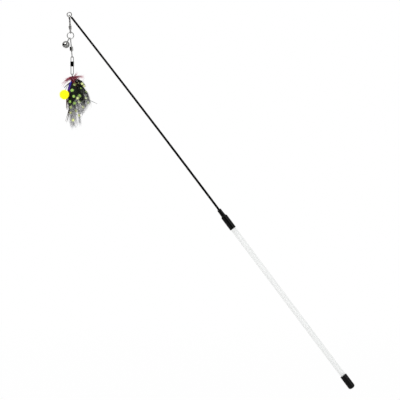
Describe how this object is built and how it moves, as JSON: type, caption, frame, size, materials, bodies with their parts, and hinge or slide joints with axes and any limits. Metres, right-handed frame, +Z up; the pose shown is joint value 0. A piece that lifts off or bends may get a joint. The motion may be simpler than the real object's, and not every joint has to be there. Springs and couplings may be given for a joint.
{
  "type": "cat teaser wand",
  "caption": "Cat teaser wand: clear handle tube, thin black rod, and a feather lure with jingle bell and pom-pom hung on a clasp, ring, swivel and snap.",
  "frame": {"origin": "middle of the end cap's straight outer wall, on the handle's axis", "axes": "+Z up with the lure hanging along -Z; the wand lies in the XZ plane and leans towards -X; +Y away from the picture's viewer"},
  "size_m": [0.3753, 0.0342, 0.481],
  "materials": {
    "black_vinyl": "dip-moulded vinyl, satin with a soft highlight",
    "clear_acrylic": "extruded clear acrylic with fine glitter flecks",
    "black_glass_fibre": "black glass fibre, satin",
    "nickel_plate": "bright nickel plate",
    "maroon_thread": "waxed thread wrap",
    "crimson_hackle": "dyed hackle",
    "indigo_feather": "dyed feather",
    "spotted_feather": "dark feather with dyed yellow-green spots",
    "grey_feather": "soft grey plume",
    "brown_feather": "dark brown strand",
    "yellow_wool": "fuzzy wool pom-pom",
    "black_quill": "bare quill"
  },
  "bodies": {
    "wand": {"end_cap": "black_vinyl", "handle_tube": "clear_acrylic", "ferrule": "black_vinyl", "rod": "black_glass_fibre", "tip_eye": "nickel_plate"},
    "clasp": {"clasp_body": "nickel_plate", "clasp_rivet": "nickel_plate", "clasp_spring": "nickel_plate"},
    "clasp_gate": {"clasp_trigger": "nickel_plate"},
    "ring": {"jump_ring": "nickel_plate"},
    "bell": {"bell_loop": "nickel_plate", "bell_upper_shell": "nickel_plate", "bell_lower_shell": "nickel_plate"},
    "bell_pellet": {"bell_ball": "nickel_plate"},
    "swivel_top": {"swivel_upper_eye": "nickel_plate"},
    "swivel_middle": {"swivel_barrel": "nickel_plate"},
    "swivel_bottom": {"swivel_lower_eye": "nickel_plate"},
    "snap": {"snap_wire": "nickel_plate", "snap_clip": "nickel_plate"},
    "lure": {"lure_loop": "nickel_plate", "lure_binding": "maroon_thread", "red_hackle": "crimson_hackle", "pompom_stem": "black_quill", "pompom": "yellow_wool", "long_barb": "grey_feather", "front_spotted_feather": "spotted_feather", "front_right_spotted_feather": "spotted_feather", "right_spotted_feather": "spotted_feather", "rear_right_spotted_feather": "spotted_feather", "rear_left_spotted_feather": "spotted_feather", "left_spotted_feather": "spotted_feather", "shoulder_spotted_feather": "spotted_feather", "front_grey_plume": "grey_feather", "right_grey_plume": "grey_feather", "left_grey_plume": "grey_feather", "brown_strand": "brown_feather", "grey_fluff": "grey_feather", "purple_feather": "indigo_feather"}
  },
  "joints": [
    {"name": "clasp_swing", "type": "hinge", "parent": "wand", "child": "clasp", "pos_m": [-0.35433, 0, 0.46587], "axis": [0, 1, 0], "range_deg": [-12, 70]},
    {"name": "gate_open", "type": "hinge", "parent": "clasp", "child": "clasp_gate", "pos_m": [-0.35332, -0.002, 0.4514], "axis": [-0.9976, 0, -0.0698], "range_deg": [0, 25], "stiffness_Nm_per_rad": 0.004, "springref_deg": -11.46},
    {"name": "ring_swing", "type": "hinge", "parent": "clasp", "child": "ring", "pos_m": [-0.35288, 0, 0.44447], "axis": [1, 0, 0], "range_deg": [-35, 35]},
    {"name": "bell_swing", "type": "hinge", "parent": "ring", "child": "bell", "pos_m": [-0.35424, 0, 0.43754], "axis": [0, 1, 0], "range_deg": [0, 55]},
    {"name": "pellet_rattle", "type": "slide", "parent": "bell", "child": "bell_pellet", "axis": [0, 0, 1], "range_m": [0, 0.006]},
    {"name": "swivel_swing", "type": "hinge", "parent": "ring", "child": "swivel_top", "pos_m": [-0.35288, 0, 0.43607], "axis": [1, 0, 0], "range_deg": [-40, 40]},
    {"name": "barrel_spin", "type": "hinge", "parent": "swivel_top", "child": "swivel_middle", "pos_m": [-0.35288, 0, 0.43732], "axis": [-0.0872, 0, 0.9962], "continuous": true},
    {"name": "lower_eye_spin", "type": "hinge", "parent": "swivel_middle", "child": "swivel_bottom", "pos_m": [-0.35288, 0, 0.43732], "axis": [-0.0872, 0, 0.9962], "continuous": true},
    {"name": "snap_swing", "type": "hinge", "parent": "swivel_bottom", "child": "snap", "pos_m": [-0.35069, 0, 0.41221], "axis": [0, 1, 0], "range_deg": [-15, 50]},
    {"name": "lure_swing", "type": "hinge", "parent": "snap", "child": "lure", "pos_m": [-0.35069, 0, 0.39041], "axis": [1, 0, 0], "range_deg": [-45, 45]}
  ]
}
